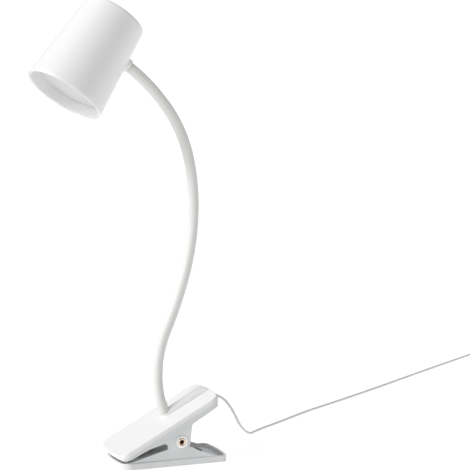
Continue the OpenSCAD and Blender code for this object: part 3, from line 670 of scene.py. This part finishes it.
def make_shade():
    """A thin tapered can with a round-edged crown, open at its mouth."""
    rim_r = shade_radius(MOUTH_Z)
    low, high = MOUTH_Z + RIM_CUT, CROWN_Z - CROWN_ROUND
    outer = [(rim_r - RIM_CUT, MOUTH_Z), (rim_r - 0.12, MOUTH_Z + 0.1), (rim_r - 0.02, low)]
    outer += [(shade_radius(z), z) for z in [low + (high - low) * k / 24 for k in range(1, 25)]]
    top_r = shade_radius(high) - CROWN_ROUND
    outer += [(top_r + CROWN_ROUND * math.cos(math.radians(a)),
               high + CROWN_ROUND * math.sin(math.radians(a))) for a in range(9, 91, 9)]
    outer += [(top_r * k / 6, CROWN_Z) for k in range(5, 0, -1)] + [(CENTRE_R, CROWN_Z)]
    ceiling = CROWN_Z - SHADE_WALL
    inner = [(CENTRE_R, ceiling)] + [(top_r * k / 4, ceiling) for k in range(1, 5)]
    inner_high, inner_low = ceiling - SHADE_WALL, MOUTH_Z + 0.3
    inner += [(shade_radius(z) - SHADE_WALL, z) for z in
              [inner_high - (inner_high - inner_low) * k / 16 for k in range(17)]]
    inner_r = rim_r - SHADE_WALL
    inner += [(inner_r + 0.12, MOUTH_Z + 0.06), (inner_r + RIM_CUT, MOUTH_Z)]
    shell = lathe("shade_shell", outer + inner, head_frame, 160)
    side = head_frame @ shift(SHADE_HOLE_FROM, 0, 0) @ turn(90, "Y")
    drill(shell, side, SHADE_HOLE_R, 0, SHADE_HOLE_DEEP)
    finish_piece(shell, "head", "white_metal")
    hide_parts("shade")


make_shade()

# ---------------------------------------------------------------- small parts

SOFT_EDGES = {
    "upper_frame": 0.25, "lower_jaw": 0.35, "switch_base": 0.6, "switch_cover": 0.6,
    "switch_rocker": 0.3, "plug_shell": 1.0, "plug_front": 1.0, "upper_pad": 0.2,
    "lower_pad": 0.2, "pivot_washers": 0.15, "neck_nut": 0.2, "head_nut": 0.2,
    "head_bracket": 0.2, "driver_board": 0.2,
}

for name, width in SOFT_EDGES.items():
    soften(nodes[name], width)


# ---------------------------------------------------------------- stage


def soft_sun(name, towards, strength, spread):
    """A distant, wide light. towards points from the object to the light."""
    data = bpy.data.lights.new(name, "SUN")
    data.energy = strength
    data.angle = math.radians(spread)
    light = bpy.data.objects.new(name, data)
    bpy.context.collection.objects.link(light)
    light.rotation_euler = Vector(towards).to_track_quat("Z", "Y").to_euler()


KEY_FROM = (-0.84, -0.10, 0.53)
KEY_LEVEL = 2.1
KEY_SPREAD = 30
FILL_LOW = 0.16
FILL_HIGH = 0.78
FILL_TILT = 0.25
BACKDROP_LEVEL = 1.1
FLOOR_TONE = 0.35
FLOOR_GLOW = 0.78
FLOOR_HALF = 60.0
FLOOR_DROP = 0.0002


def make_stage():
    """A pale sweep that is lit from below like a light table, a soft key from the left, a
    fill that grows overhead, and a white backdrop that only the camera sees."""
    far = FLOOR_HALF
    floor = mesh_object("floor", [(-far, -far, 0), (far, -far, 0), (far, far, 0), (-far, far, 0)],
                        [(0, 1, 2, 3)], smooth=False)
    floor.location.z = -FLOOR_DROP
    pale = shader("floor_pale", (FLOOR_TONE, FLOOR_TONE, FLOOR_TONE), 0.9, variation=0.004,
                  patch=2, grain=300, bump=0.02, Emission_Color=(1, 1, 1, 1),
                  Emission_Strength=FLOOR_GLOW)
    floor.data.materials.append(pale)
    world = bpy.data.worlds.new("studio")
    world.use_nodes = True
    tree = world.node_tree
    background = tree.nodes["Background"]
    background.inputs["Color"].default_value = (1, 1, 1, 1)
    link = tree.links.new
    place = tree.nodes.new("ShaderNodeTexCoord")
    up = tree.nodes.new("ShaderNodeVectorMath")
    up.operation = "DOT_PRODUCT"
    up.inputs[1].default_value = Vector((0, FILL_TILT, 1)).normalized()
    fill = tree.nodes.new("ShaderNodeMapRange")
    fill.inputs["To Min"].default_value = FILL_LOW
    fill.inputs["To Max"].default_value = FILL_HIGH
    ray = tree.nodes.new("ShaderNodeLightPath")
    level = tree.nodes.new("ShaderNodeMix")
    level.inputs["B"].default_value = BACKDROP_LEVEL
    link(place.outputs["Generated"], up.inputs[0])
    link(up.outputs["Value"], fill.inputs["Value"])
    link(fill.outputs["Result"], level.inputs["A"])
    link(ray.outputs["Is Camera Ray"], level.inputs["Factor"])
    link(level.outputs["Result"], background.inputs["Strength"])
    bpy.context.scene.world = world
    soft_sun("key", KEY_FROM, KEY_LEVEL, KEY_SPREAD)
    scene = bpy.context.scene
    scene.view_settings.view_transform = "Standard"
    scene.view_settings.look = "None"


make_stage()
